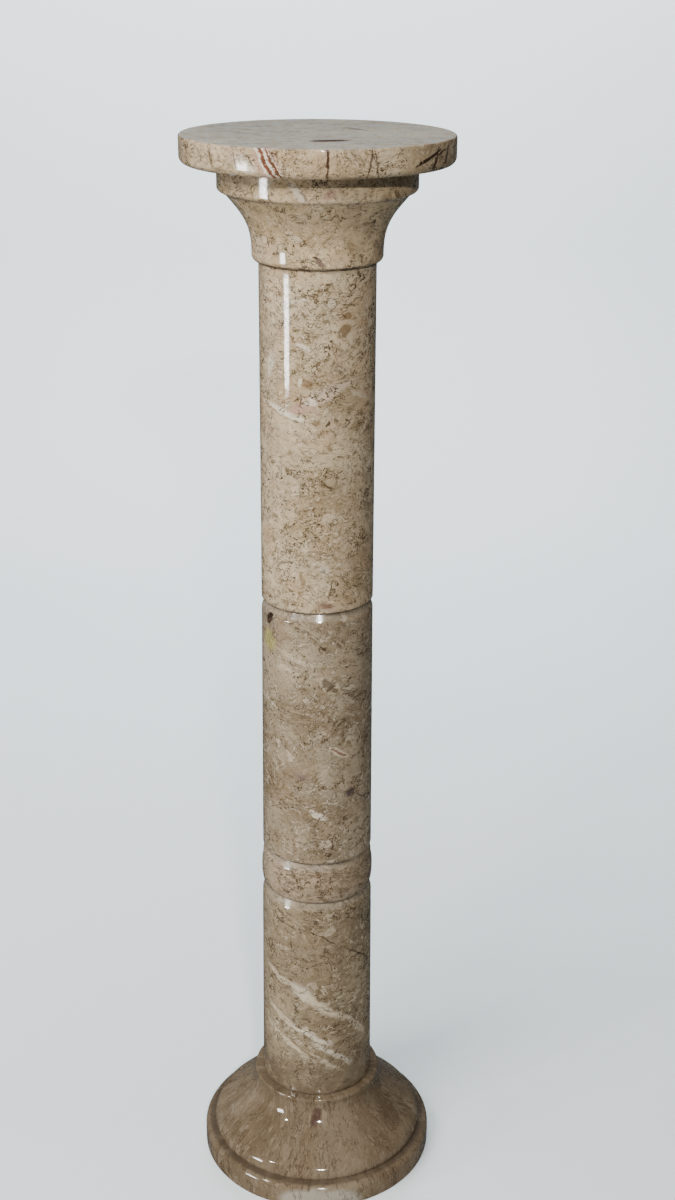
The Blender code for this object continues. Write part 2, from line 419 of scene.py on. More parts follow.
def roundFoot(radius, foot, size, steps=8):
    return arc((radius - size, foot + size), (size, size), 0, -90, steps)


# a hollow moulding that turns into a swelling one, or into a lip, at the point "turn"
def wave(start, turn, end, slope, pull=0.43, steps=22):
    side = math.copysign(1.0, end[0] - start[0])
    heading = (side * math.cos(slope), -math.sin(slope))
    first = pull * math.dist(start, turn)
    second = pull * math.dist(turn, end)
    upper = bend(start, (start[0], start[1] - first),
                 (turn[0] - heading[0] * first, turn[1] - heading[1] * first), turn, steps)
    lower = bend(turn, (turn[0] + heading[0] * second, turn[1] + heading[1] * second),
                 (end[0], end[1] + second), end, steps)
    return upper + lower[1:]


def bevelledTop(c, radius, top):
    inner = (radius - c["bevelDepth"], top)
    corner = (radius, top - c["bevelHeight"])
    share = c["bevelRound"] / math.hypot(c["bevelDepth"], c["bevelHeight"])
    before = (corner[0] - c["bevelDepth"] * share, corner[1] + c["bevelHeight"] * share)
    return [inner] + bend(before, corner, corner, (radius, corner[1] - c["bevelRound"]), 9)


# Geometry Nodes: turn a wire profile about the Z axis
def makeTurningTree():
    tree = bpy.data.node_groups.new("turning", "GeometryNodeTree")
    tree.interface.new_socket("Profile", in_out="INPUT", socket_type="NodeSocketGeometry")
    sides = tree.interface.new_socket("Sides", in_out="INPUT", socket_type="NodeSocketInt")
    finish = tree.interface.new_socket("Finish", in_out="INPUT", socket_type="NodeSocketMaterial")
    tree.interface.new_socket("Turned", in_out="OUTPUT", socket_type="NodeSocketGeometry")
    make = tree.nodes.new
    link = tree.links.new
    source = make("NodeGroupInput").outputs
    rows = make("GeometryNodeAttributeDomainSize")
    link(source["Profile"], rows.inputs["Geometry"])
    columns = make("FunctionNodeIntegerMath")
    link(source["Sides"], columns.inputs[0])
    columns.inputs[1].default_value = 1
    grid = make("GeometryNodeMeshGrid")
    link(rows.outputs["Point Count"], grid.inputs["Vertices X"])
    link(columns.outputs[0], grid.inputs["Vertices Y"])
    index = make("GeometryNodeInputIndex").outputs[0]
    row = make("FunctionNodeIntegerMath")
    row.operation = "DIVIDE_FLOOR"
    link(index, row.inputs[0])
    link(columns.outputs[0], row.inputs[1])
    column = make("FunctionNodeIntegerMath")
    column.operation = "MODULO"
    link(index, column.inputs[0])
    link(columns.outputs[0], column.inputs[1])
    share = make("ShaderNodeMath")
    share.operation = "DIVIDE"
    link(column.outputs[0], share.inputs[0])
    link(source["Sides"], share.inputs[1])
    angle = make("ShaderNodeMath")
    angle.operation = "MULTIPLY"
    link(share.outputs[0], angle.inputs[0])
    angle.inputs[1].default_value = 2 * math.pi
    point = make("GeometryNodeSampleIndex")
    point.data_type = "FLOAT_VECTOR"
    link(source["Profile"], point.inputs["Geometry"])
    link(make("GeometryNodeInputPosition").outputs[0], point.inputs["Value"])
    link(row.outputs[0], point.inputs["Index"])
    swing = make("ShaderNodeVectorRotate")
    swing.rotation_type = "Z_AXIS"
    link(point.outputs["Value"], swing.inputs["Vector"])
    link(angle.outputs[0], swing.inputs["Angle"])
    placed = make("GeometryNodeSetPosition")
    link(grid.outputs["Mesh"], placed.inputs["Geometry"])
    link(swing.outputs[0], placed.inputs["Position"])
    closed = make("GeometryNodeMergeByDistance")
    closed.inputs["Distance"].default_value = 0.00001
    link(placed.outputs[0], closed.inputs["Geometry"])
    whole = make("GeometryNodeRealizeInstances")
    link(closed.outputs[0], whole.inputs[0])
    painted = make("GeometryNodeSetMaterial")
    link(whole.outputs[0], painted.inputs["Geometry"])
    link(source["Finish"], painted.inputs["Material"])
    link(painted.outputs[0], make("NodeGroupOutput").inputs[0])
    return tree, sides.identifier, finish.identifier


turningTree, sidesInput, finishInput = makeTurningTree()


def turnPiece(name, profile, material, sides=256, sharp=50):
    outline = [(0.0, profile[0][1])] + profile + [(0.0, profile[-1][1])]
    wire = bpy.data.meshes.new(name + "Profile")
    wire.from_pydata([(r, 0.0, z) for r, z in outline], [(i, i + 1) for i in range(len(outline) - 1)], [])
    piece = bpy.data.objects.new(name, wire)
    bpy.context.scene.collection.objects.link(piece)
    turning = piece.modifiers.new("turning", "NODES")
    turning.node_group = turningTree
    turning[sidesInput] = sides
    turning[finishInput] = material
    solid = bpy.data.meshes.new_from_object(piece.evaluated_get(bpy.context.evaluated_depsgraph_get()))
    piece.modifiers.remove(turning)
    piece.data = solid
    bpy.data.meshes.remove(wire)
    faceOutwards(solid)
    solid.shade_smooth()
    solid.set_sharp_from_angle(angle=math.radians(sharp))
    return piece


def faceOutwards(mesh):
    shape = bmesh.new()
    shape.from_mesh(mesh)
    bmesh.ops.dissolve_degenerate(shape, dist=0.000001, edges=shape.edges)
    bmesh.ops.recalc_face_normals(shape, faces=shape.faces)
    shape.to_mesh(mesh)
    shape.free()


# Hollows, chips and nicks: a lumpy pebble is cut out of the surface
def pebble(name, c):
    bearing, height, radius = c["at"]
    shape = bmesh.new()
    bmesh.ops.create_icosphere(shape, subdivisions=4, radius=1.0)
    for vertex in shape.verts:
        lump = noise.fractal(vertex.co * c["lumps"] + Vector(c["seed"]), 1.0, 2.0, 4)
        vertex.co *= 1.0 + c["roughness"] * lump
        vertex.co = Vector(a * b / 2 for a, b in zip(vertex.co, c["size"]))
    place = Matrix.Translation(onCircle(bearing, radius, height))
    lean = Euler((0, math.radians(c["tilt"]), math.radians(bearing))).to_matrix().to_4x4()
    bmesh.ops.transform(shape, matrix=place @ lean, verts=shape.verts)
    bmesh.ops.recalc_face_normals(shape, faces=shape.faces)
    mesh = bpy.data.meshes.new(name)
    shape.to_mesh(mesh)
    shape.free()
    return bpy.data.objects.new(name, mesh)


def cutPebbles(piece, cuts, inside, sharp=35):
    piece.data.materials.append(inside)
    for name, c in cuts.items():
        tool = pebble(name, c)
        bpy.context.scene.collection.objects.link(tool)
        tool.data.materials.append(inside)
        cut = piece.modifiers.new("cut", "BOOLEAN")
        cut.operation = "DIFFERENCE"
        cut.solver = "EXACT"
        cut.object = tool
        cut.material_mode = "TRANSFER"
        carved = bpy.data.meshes.new_from_object(piece.evaluated_get(bpy.context.evaluated_depsgraph_get()))
        piece.modifiers.remove(cut)
        old = piece.data
        piece.data = carved
        bpy.data.meshes.remove(old)
        bpy.data.meshes.remove(tool.data)
    piece.data.shade_smooth()
    piece.data.set_sharp_from_angle(angle=math.radians(sharp))


def place(piece, node, slot):
    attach(piece, "root")
    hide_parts(node)
    print("piece:", node, len(piece.data.vertices), "points")


def heights(node):
    low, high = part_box(node)
    return low[2], high[2]


# Colours of the stone
streakCream = (0.52, 0.43, 0.305)
streakPale = (0.66, 0.575, 0.45)
rosePink = (0.42, 0.27, 0.20)
rust = (0.15, 0.090, 0.040)
# painted shade for the joints between pieces
jointShade = (0.055, 0.038, 0.024)
wornGrey = (0.40, 0.41, 0.397)
# pale painted reflection of the ceiling on the drums' bevels
ceilingSheen = (0.44, 0.40, 0.335)
creamStone = (0.55, 0.44, 0.30)
veinBrown = (0.052, 0.034, 0.018)
darkBrown = (0.035, 0.016, 0.008)
plum = (0.11, 0.045, 0.038)
stripeRed = (0.14, 0.045, 0.025)

upperStone = {
    "light": (0.53, 0.423, 0.280), "dark": (0.300, 0.222, 0.130), "warm": (0.42, 0.295, 0.178),
    "grey": (0.38, 0.318, 0.222), "brown": (0.165, 0.112, 0.058), "cream": creamStone,
    "vein": veinBrown, "speck": (0.062, 0.040, 0.020),
    "shells": ((75, 0.57, 0.75), (140, 0.58, 0.7)), "lines": ((55, 0.018, 1.0), (105, 0.020, 0.9)),
    "rough": (0.04, 0.11),
}
# the lower pieces are darker, partly their own stone and partly painted shade for the light falling off
# towards the floor
lowerStone = dict(upperStone, **{
    "light": (0.27, 0.190, 0.115), "dark": (0.160, 0.100, 0.052), "warm": (0.21, 0.130, 0.070),
    "grey": (0.20, 0.155, 0.103), "brown": (0.095, 0.062, 0.033), "cream": (0.36, 0.275, 0.185),
    "vein": (0.045, 0.028, 0.015), "speck": (0.045, 0.028, 0.015), "rough": (0.05, 0.13),
})


# rough faces inside a pit, and crystalline faces of a fresh chip
brokenFaces = {
    "hollow_marble": {"dark": (0.016, 0.009, 0.005), "light": (0.075, 0.045, 0.026),
                      "scale": 300, "detail": 3, "rough": 0.8},
    "broken_marble": {"dark": (0.50, 0.42, 0.36), "light": (0.86, 0.83, 0.78),
                      "scale": 350, "detail": 4, "rough": 0.45},
}


def brokenMarble(name):
    c = brokenFaces[name]
    stone = Stone(name)
    grains = stone.noise(stone.place, c["scale"], c["detail"])
    stone.feed(stone.shader.inputs["Base Color"], stone.blend(grains, c["dark"], c["light"]))
    stone.shader.inputs["Roughness"].default_value = c["rough"]
    return stone.material


hollowMarble = brokenMarble("hollow_marble")
freshMarble = brokenMarble("broken_marble")


# Base
baseShape = {
    "plinthRadius": 0.1134, "plinthHeight": 0.0236, "plinthTopEdge": 0.0067, "plinthFootEdge": 0.0008,
    "domeRadius": 0.1036, "domeFootRise": 0.0030, "domeTuck": 0.0010,
    "turnRadius": 0.0873, "turnRise": 0.0218, "turnSlope": 43,
    "collarRadius": 0.0618, "collarThickness": 0.0040, "collarEdge": 0.0018, "collarOverhang": 0.0012,
    "collarUndercut": 0.0015,
}
baseFinish = dict(lowerStone, **{
    "light": (0.180, 0.136, 0.089), "dark": (0.105, 0.074, 0.044), "warm": (0.138, 0.095, 0.058),
    "grey": (0.150, 0.118, 0.080), "cream": (0.245, 0.195, 0.135),
    "shells": ((75, 0.57, 0.40), (140, 0.58, 0.35)), "lines": ((55, 0.016, 0.6), (105, 0.018, 0.6)),
    "offset": (0.4, 0.1, 0.2), "grain": (1.0, 1.0, 1.0), "radial": 0.30, "specks": 0.28, "mottle": 0.45,
    "flow": 0.018, "curl": 0.008,
})
baseMarks = {
    "plumSpot": {"at": (-1, 0.0682, 0.0656), "size": (0.011, 0.020),
        "colour": (0.060, 0.028, 0.024), "strength": 0.8, "soft": 0.6, "edge": "coarse"},
    "darkRight": {"at": (67, 0.052, 0.081), "size": (0.06, 0.05), "tilt": -30,
        "colour": (0.07, 0.042, 0.022), "strength": 0.5, "soft": 0.8, "edge": "coarse"},
    "palePatch": {"at": (2, 0.004, 0.1134), "size": (0.11, 0.038), "tilt": 3,
        "colour": (0.31, 0.278, 0.225), "strength": 0.8, "soft": 0.3, "depth": 0.016},
}


# painted shade in the joint at a piece's foot
def jointShadeBand(foot):
    return (foot - 0.001, foot + 0.0010, 0.0006, jointShade, 0.85, 0.6)


# the bevel at a drum's head is less polished and carries a pale painted reflection of the ceiling, with
# painted shade in the joint under the piece above
def bevelBands(top):
    return [(top - 0.0088, top + 0.001, 0.0030, ceilingSheen, 0.16, 0.24),
            (top - 0.0016, top + 0.001, 0.0012, jointShade, 0.6, 0.6)]


def makeBase(c):
    foot, top = heights("base")
    plinthTop = foot + c["plinthHeight"]
    collarFoot = top - c["collarThickness"]
    profile = roundTop(c["collarRadius"], top, c["collarEdge"]) + [(c["collarRadius"], collarFoot)]
    profile += wave((c["collarRadius"] - c["collarOverhang"], collarFoot - c["collarUndercut"]),
                    (c["turnRadius"], plinthTop + c["turnRise"]),
                    (c["domeRadius"], plinthTop + c["domeFootRise"]), math.radians(c["turnSlope"]))
    profile += [(c["domeRadius"] - c["domeTuck"], plinthTop)]
    profile += roundTop(c["plinthRadius"], plinthTop, c["plinthTopEdge"], 14)
    profile += roundFoot(c["plinthRadius"], foot, c["plinthFootEdge"], 4)
    # painted shade in the groove where the dome meets the plinth
    grooveShade = (plinthTop - 0.0008, plinthTop + 0.0012, 0.0006, jointShade, 0.6, 0.5)
    finish = marble("base_marble", dict(baseFinish, bands=[grooveShade]), baseMarks)
    piece = turnPiece("baseStone", profile, finish)
    place(piece, "base", "base_marble")


# Drums of the shaft: the lower and middle drums have a broad bevel at the head, the upper drum a fine edge;
# all have a fine edge at the foot
drumEdges = {"bevelHeight": 0.0094, "bevelDepth": 0.0046, "bevelRound": 0.0034, "fineEdge": 0.0008,
             "rows": 24}
drumShapes = {
    "lower_drum": {"top": 0.0524, "foot": 0.0538},
    "middle_drum": {"top": 0.0503, "foot": 0.0516},
    "upper_drum": {"top": 0.0498, "foot": 0.0503},
}


def drumProfile(node, edges):
    foot, top = heights(node)
    c = drumShapes[node]
    if node == "upper_drum":
        head = roundTop(c["top"], top, edges["fineEdge"], 4)
    else:
        head = bevelledTop(edges, c["top"], top)
    rows = edges["rows"]
    start = head[-1][1]
    fall = foot + edges["fineEdge"] - start
    side = [(c["top"] + (c["foot"] - c["top"]) * i / rows, start + fall * i / rows) for i in range(1, rows)]
    return head + side + roundFoot(c["foot"], foot, edges["fineEdge"], 4)


lowerFinish = dict(lowerStone, **{
    "light": (0.292, 0.228, 0.145), "dark": (0.175, 0.130, 0.080), "warm": (0.235, 0.168, 0.104),
    "grey": (0.215, 0.178, 0.122), "cream": (0.39, 0.318, 0.22),
    "offset": (0.9, 0.3, 0.7), "specks": 0.6, "flow": 0.035,
})
lowerMarks = {
    "bandOneUpper": {"at": (-44, 0.2158, 0.0529), "size": (0.059, 0.0112), "tilt": 24,
        "colour": streakCream, "strength": 0.64, "soft": 0.6, "edge": "coarse"},
    "bandOneMiddle": {"at": (-16, 0.204, 0.053), "size": (0.033, 0.0198), "tilt": 38,
        "colour": streakPale, "strength": 0.48, "soft": 0.7, "edge": "coarse"},
    "bandOneLower": {"at": (3, 0.1885, 0.0531), "size": (0.062, 0.0136), "tilt": 38,
        "colour": streakCream, "strength": 0.72, "soft": 0.5, "edge": "coarse"},
    "bandOneFoot": {"at": (44, 0.158, 0.0533), "size": (0.066, 0.0086), "tilt": 46,
        "colour": streakCream, "strength": 0.56, "soft": 0.6, "edge": "coarse"},
    "bandTwoUpper": {"at": (-39, 0.17, 0.0532), "size": (0.055, 0.0075), "tilt": 27,
        "colour": streakCream, "strength": 0.72, "soft": 0.5},
    "bandTwoMiddle": {"at": (-5, 0.1552, 0.0533), "size": (0.066, 0.0085), "tilt": 30,
        "colour": streakPale, "strength": 0.64, "soft": 0.6, "edge": "coarse"},
    "bandTwoShade": {"at": (-10, 0.1595, 0.0533), "size": (0.04, 0.002), "tilt": 30,
        "colour": rust, "strength": 0.6, "soft": 0.5},
    "bandTwoLower": {"at": (-40, 0.147, 0.0534), "size": (0.062, 0.0075), "tilt": 26,
        "colour": streakCream, "strength": 0.64, "soft": 0.5},
    "bandTwoFoot": {"at": (20, 0.1316, 0.0535), "size": (0.073, 0.0085), "tilt": 37,
        "colour": streakPale, "strength": 0.60, "soft": 0.6, "edge": "coarse"},
    "bandTwoEnd": {"at": (8, 0.125, 0.0535), "size": (0.066, 0.0054), "tilt": 36,
        "colour": streakCream, "strength": 0.64, "soft": 0.5},
    "bandThree": {"at": (-16, 0.1342, 0.0535), "size": (0.055, 0.0059), "tilt": 41,
        "colour": streakCream, "strength": 0.60, "soft": 0.5},
    "bandThreeShade": {"at": (-14, 0.1385, 0.0535), "size": (0.046, 0.0022), "tilt": 38,
        "colour": rust, "strength": 0.6, "soft": 0.5},
    "darkLineLeft": {"at": (-38, 0.277, 0.0525), "size": (0.042, 0.0016), "tilt": 10,
        "colour": veinBrown, "strength": 0.8, "soft": 0.5},
    "darkLineMiddle": {"at": (4, 0.2673, 0.0525), "size": (0.046, 0.0018), "tilt": 31,
        "colour": veinBrown, "strength": 0.85, "soft": 0.5},
    "darkLineRight": {"at": (50, 0.238, 0.0528), "size": (0.06, 0.0026), "tilt": 38,
        "colour": veinBrown, "strength": 0.8, "soft": 0.5},
    "squiggle": {"at": (-28, 0.257, 0.0527), "size": (0.0018, 0.012),
        "colour": veinBrown, "strength": 0.85, "soft": 0.5},
    "topCrack": {"at": (-1, 0.283, 0.0524), "size": (0.0018, 0.013), "tilt": -20,
        "colour": veinBrown, "strength": 0.85, "soft": 0.5},
}


def makeLowerDrum():
    foot, top = heights("lower_drum")
    # painted shade: darker towards the foot, in the shadow near the base
    footShade = (foot - 0.06, foot + 0.014, 0.050, (0.095, 0.068, 0.042), 0.75, 0.1)
    bands = bevelBands(top) + [footShade, jointShadeBand(foot)]
    finish = marble("lower_drum_marble", dict(lowerFinish, bands=bands), lowerMarks)
    piece = turnPiece("lowerDrumStone", drumProfile("lower_drum", drumEdges), finish)
    place(piece, "lower_drum", "lower_drum_marble")


# Ring
ringShape = {"shoulder": 0.0516, "belly": 0.0528, "bellyHeight": 0.0150, "footDepth": 0.0032}
ringFinish = dict(lowerStone, **{
    "light": (0.36, 0.283, 0.195), "dark": (0.225, 0.168, 0.108), "warm": (0.31, 0.215, 0.145),
    "grey": (0.28, 0.23, 0.165), "offset": (0.2, 0.8, 0.1),
})


def makeRing(c):
    foot, top = heights("ring")
    head = bevelledTop(drumEdges, c["shoulder"], top)
    belly = foot + c["bellyHeight"]
    middle = (head[-1][1] + belly) / 2
    side = bend(head[-1], (c["belly"], middle), (c["belly"], middle), (c["belly"], belly), 12)
    under = arc((c["belly"] - c["footDepth"], belly), (c["footDepth"], c["bellyHeight"]), 0, -90, 16)
    finish = marble("ring_marble", dict(ringFinish, bands=bevelBands(top) + [jointShadeBand(foot)]), {})
    piece = turnPiece("ringStone", head + side[1:] + under[1:], finish)
    place(piece, "ring", "ring_marble")


middleFinish = dict(upperStone, **{
    "light": (0.345, 0.276, 0.188), "dark": (0.180, 0.136, 0.086), "warm": (0.26, 0.185, 0.118),
    "grey": (0.29, 0.240, 0.175), "cream": (0.46, 0.385, 0.285), "offset": (0.1, 0.6, 0.3),
})
middleMarks = {
    "yellowPatch": {"at": (-58.5, 0.563, 0.0504), "size": (0.023, 0.028), "tilt": -12,
        "colour": (0.36, 0.32, 0.11), "strength": 0.8, "soft": 0.5, "edge": "coarse"},
    "curlShade": {"at": (11, 0.527, 0.0506), "size": (0.025, 0.0115), "tilt": 36,
        "colour": veinBrown, "strength": 0.7, "soft": 0.35, "edge": "coarse"},
    "curl": {"at": (11.2, 0.5272, 0.0506), "size": (0.028, 0.014), "tilt": 36,
        "colour": streakCream, "strength": 0.9, "soft": 0.35, "edge": "coarse", "broken": 90},
    "slotRim": {"at": (22, 0.4596, 0.0509), "size": (0.028, 0.0085), "tilt": 28,
        "colour": streakCream, "strength": 0.85, "soft": 0.3},
    "slot": {"at": (22.5, 0.4592, 0.0509), "size": (0.021, 0.0045), "tilt": 28,
        "colour": (0.19, 0.105, 0.075), "strength": 0.95, "soft": 0.3},
    "violetSmudge": {"at": (-15, 0.436, 0.0511), "size": (0.026, 0.01), "tilt": 5,
        "colour": (0.17, 0.115, 0.110), "strength": 0.6, "soft": 0.8, "edge": "coarse"},
    "violetSpot": {"at": (36, 0.416, 0.0512), "size": (0.016, 0.013), "tilt": 30,
        "colour": (0.055, 0.032, 0.040), "strength": 0.8, "soft": 0.7, "edge": "coarse"},
    "darkRun": {"at": (61, 0.405, 0.0513), "size": (0.044, 0.003), "tilt": 24,
        "colour": veinBrown, "strength": 0.8, "soft": 0.6, "edge": "coarse"},
    "creamFragment": {"at": (1.5, 0.397, 0.0513), "size": (0.024, 0.007), "tilt": 34,
        "colour": streakPale, "strength": 0.75, "soft": 0.4, "edge": "coarse"},
    "creamDash": {"at": (-51, 0.5007, 0.0508), "size": (0.014, 0.0026), "tilt": 24,
        "colour": streakPale, "strength": 0.9, "soft": 0.4},
    "paleRun": {"at": (-27, 0.553, 0.0505), "size": (0.056, 0.0055), "tilt": 18,
        "colour": streakCream, "strength": 0.55, "soft": 0.7, "edge": "coarse"},
    "palePatch": {"at": (-33, 0.54, 0.0505), "size": (0.028, 0.009), "tilt": 8,
        "colour": streakCream, "strength": 0.6, "soft": 0.6, "edge": "coarse"},
    "hookStem": {"at": (16, 0.364, 0.0516), "size": (0.0032, 0.014),
        "colour": darkBrown, "strength": 0.8, "soft": 0.5},
    "hookFoot": {"at": (12, 0.3555, 0.0516), "size": (0.0085, 0.003), "tilt": -25,
        "colour": darkBrown, "strength": 0.8, "soft": 0.5},
}
middleCuts = {
    "pit": {"at": (-57, 0.5840, 0.0500), "size": (0.0080, 0.010, 0.0125), "tilt": 30,
            "seed": (1.3, 0.2, 4.0), "roughness": 0.30, "lumps": 1.3},
}


def makeMiddleDrum():
    foot, top = heights("middle_drum")
    bands = bevelBands(top) + [jointShadeBand(foot)]
    finish = marble("middle_drum_marble", dict(middleFinish, bands=bands), middleMarks)
    piece = turnPiece("middleDrumStone", drumProfile("middle_drum", drumEdges), finish)
    cutPebbles(piece, middleCuts, hollowMarble)
    place(piece, "middle_drum", "middle_drum_marble")


upperFinish = dict(upperStone, offset=(0.0, 0.2, 0.5), mottle=0.8, warmth=0.85, specks=0.95)
upperMarks = {
    "rustFragment": {"at": (26, 0.8465, 0.0499), "size": (0.018, 0.012), "tilt": -35,
        "colour": rust, "strength": 0.8, "soft": 0.4, "edge": "coarse"},
    "rustFragmentTwo": {"at": (30, 0.8585, 0.0499), "size": (0.008, 0.007),
        "colour": rust, "strength": 0.7, "soft": 0.4, "edge": "coarse"},
    "rustTriangle": {"at": (-10.5, 0.8025, 0.05), "size": (0.015, 0.01), "tilt": 42,
        "colour": rust, "strength": 0.75, "soft": 0.4, "edge": "coarse"},
    "rustCream": {"at": (-17, 0.8035, 0.05), "size": (0.0045, 0.01), "tilt": 10,
        "colour": streakPale, "strength": 0.8, "soft": 0.4},
    "sweepOutline": {"at": (-33.4, 0.7735, 0.05), "size": (0.038, 0.002), "tilt": 16,
        "colour": veinBrown, "strength": 0.75, "soft": 0.4},
    "creamSweep": {"at": (-33.4, 0.7765, 0.05), "size": (0.045, 0.0080), "tilt": 15,
        "colour": streakPale, "strength": 0.9, "soft": 0.4},
    "pinkSweep": {"at": (-15, 0.7815, 0.05), "size": (0.032, 0.0115), "tilt": -10,
        "colour": rosePink, "strength": 0.9, "soft": 0.5},
    "creamWing": {"at": (10, 0.7945, 0.05), "size": (0.058, 0.017), "tilt": -26,
        "colour": (0.53, 0.41, 0.31), "strength": 0.75, "soft": 0.6, "edge": "coarse"},
    "creamWingRight": {"at": (46, 0.79, 0.05), "size": (0.038, 0.006), "tilt": 29,
        "colour": streakCream, "strength": 0.6, "soft": 0.5, "edge": "coarse"},
    "whiteCrumbs": {"at": (-5, 0.787, 0.05), "size": (0.01, 0.008), "tilt": 20,
        "colour": streakPale, "strength": 0.8, "soft": 0.4, "edge": "coarse"},
    "creamDashLeft": {"at": (-46, 0.8727, 0.0498), "size": (0.03, 0.0045), "tilt": 28,
        "colour": streakCream, "strength": 0.75, "soft": 0.5},
    "creamDashTop": {"at": (-19, 0.8717, 0.0498), "size": (0.018, 0.0042), "tilt": -11,
        "colour": streakPale, "strength": 0.75, "soft": 0.5},
    "boxOutline": {"at": (13, 0.87, 0.0498), "size": (0.0105, 0.0115), "tilt": 12,
        "colour": veinBrown, "strength": 0.6, "soft": 0.25},
    "box": {"at": (13, 0.87, 0.0498), "size": (0.008, 0.009), "tilt": 12,
        "colour": streakCream, "strength": 0.95, "soft": 0.25},
    "creamMiddle": {"at": (-14, 0.8334, 0.0499), "size": (0.018, 0.006), "tilt": 12,
        "colour": streakPale, "strength": 0.7, "soft": 0.5, "edge": "coarse"},
    "leftPatch": {"at": (-52, 0.815, 0.0499), "size": (0.012, 0.04), "tilt": 12,
        "colour": streakPale, "strength": 0.6, "soft": 0.7, "edge": "coarse"},
    "tearOne": {"at": (56, 0.86, 0.0498), "size": (0.003, 0.036), "tilt": -14,
        "colour": streakCream, "strength": 0.8, "soft": 0.4},
    "tearTwo": {"at": (62, 0.727, 0.0501), "size": (0.018, 0.0032), "tilt": -48,
        "colour": streakPale, "strength": 0.8, "soft": 0.4},
    "darkDash": {"at": (10, 0.8861, 0.0498), "size": (0.0085, 0.0026), "tilt": -27,
        "colour": darkBrown, "strength": 0.75, "soft": 0.5},
    "darkDashTwo": {"at": (48, 0.887, 0.0498), "size": (0.01, 0.0026), "tilt": -22,
        "colour": darkBrown, "strength": 0.75, "soft": 0.5},
    "darkFleck": {"at": (9.2, 0.768, 0.05), "size": (0.0032, 0.0085), "tilt": 22,
        "colour": darkBrown, "strength": 0.85, "soft": 0.5},
    "brownBand": {"at": (44, 0.764, 0.05), "size": (0.036, 0.006), "tilt": -14,
        "colour": rust, "strength": 0.55, "soft": 0.6, "edge": "coarse"},
    "lowSpecks": {"at": (-16, 0.628, 0.0503), "size": (0.007, 0.02), "tilt": -15,
        "colour": rust, "strength": 0.65, "soft": 0.6, "edge": "coarse"},
    "lowCrumbs": {"at": (7.6, 0.638, 0.0502), "size": (0.012, 0.017), "tilt": -25,
        "colour": streakPale, "strength": 0.5, "soft": 0.6, "edge": "coarse"},
    "plumPatch": {"at": (8, 0.6035, 0.0503), "size": (0.024, 0.013), "tilt": 10,
        "colour": plum, "strength": 0.6, "soft": 0.8, "edge": "coarse"},
}


def makeUpperDrum():
    foot, _ = heights("upper_drum")
    finish = marble("upper_drum_marble", dict(upperFinish, bands=[jointShadeBand(foot)]), upperMarks)
    piece = turnPiece("upperDrumStone", drumProfile("upper_drum", drumEdges), finish)
    place(piece, "upper_drum", "upper_drum_marble")


# Capital
capitalShape = {
    "bandRadius": 0.0836, "bandHeight": 0.0186, "turnRadius": 0.0763, "turnDrop": 0.0253, "turnSlope": 49,
    "lipRadius": 0.0554, "lipHeight": 0.0069, "lipEdge": 0.0055,
}
capitalFinish = dict(upperStone, **{
    "light": (0.65, 0.500, 0.312), "dark": (0.395, 0.288, 0.164), "offset": (0.7, 0.0, 0.1), "specks": 1.0,
})
capitalMarks = {
    "whiteVein": {"at": (-31, 0.965, 0.0836), "size": (0.0065, 0.022), "tilt": -22,
        "colour": (0.72, 0.66, 0.58), "strength": 0.9, "soft": 0.4},
    "violetVein": {"at": (-28, 0.962, 0.0836), "size": (0.0028, 0.02), "tilt": -22,
        "colour": (0.10, 0.06, 0.055), "strength": 0.85, "soft": 0.5},
    "greyCloud": {"at": (-11, 0.9633, 0.0836), "size": (0.026, 0.01), "tilt": 38,
        "colour": streakPale, "strength": 0.75, "soft": 0.5, "edge": "coarse"},
    "greyCloudEdge": {"at": (-7, 0.9605, 0.0836), "size": (0.012, 0.0035), "tilt": 45,
        "colour": (0.12, 0.075, 0.055), "strength": 0.7, "soft": 0.5},
    "pinkPatch": {"at": (6, 0.961, 0.0836), "size": (0.016, 0.008), "tilt": -29,
        "colour": rosePink, "strength": 0.85, "soft": 0.4},
    "darkDrop": {"at": (50, 0.96, 0.0836), "size": (0.014, 0.006), "tilt": 30,
        "colour": rust, "strength": 0.7, "soft": 0.5, "edge": "coarse"},
    "neckStreak": {"at": (1, 0.905, 0.0556), "size": (0.018, 0.0055), "tilt": 36,
        "colour": (0.085, 0.05, 0.048), "strength": 0.8, "soft": 0.6},
}
capitalCuts = {
    "bandChip": {"at": (-35, 0.9765, 0.0846), "size": (0.012, 0.010, 0.006), "tilt": 25,
                 "seed": (5.1, 2.2, 0.7), "roughness": 0.5, "lumps": 2.0},
}


def makeCapital(c):
    foot, top = heights("capital")
    profile = [(c["bandRadius"], top)]
    profile += wave((c["bandRadius"], top - c["bandHeight"]), (c["turnRadius"], top - c["turnDrop"]),
                    (c["lipRadius"], foot + c["lipHeight"]), math.radians(c["turnSlope"]))
    profile += roundFoot(c["lipRadius"], foot, c["lipEdge"], 12)
    # painted shade in the joint under the capital's lip
    grooveShade = (foot - 0.001, foot + 0.0018, 0.0008, darkBrown, 0.9, 0.6)
    finish = marble("capital_marble", dict(capitalFinish, bands=[grooveShade]), capitalMarks)
    piece = turnPiece("capitalStone", profile, finish)
    cutPebbles(piece, capitalCuts, freshMarble)
    place(piece, "capital", "capital_marble")


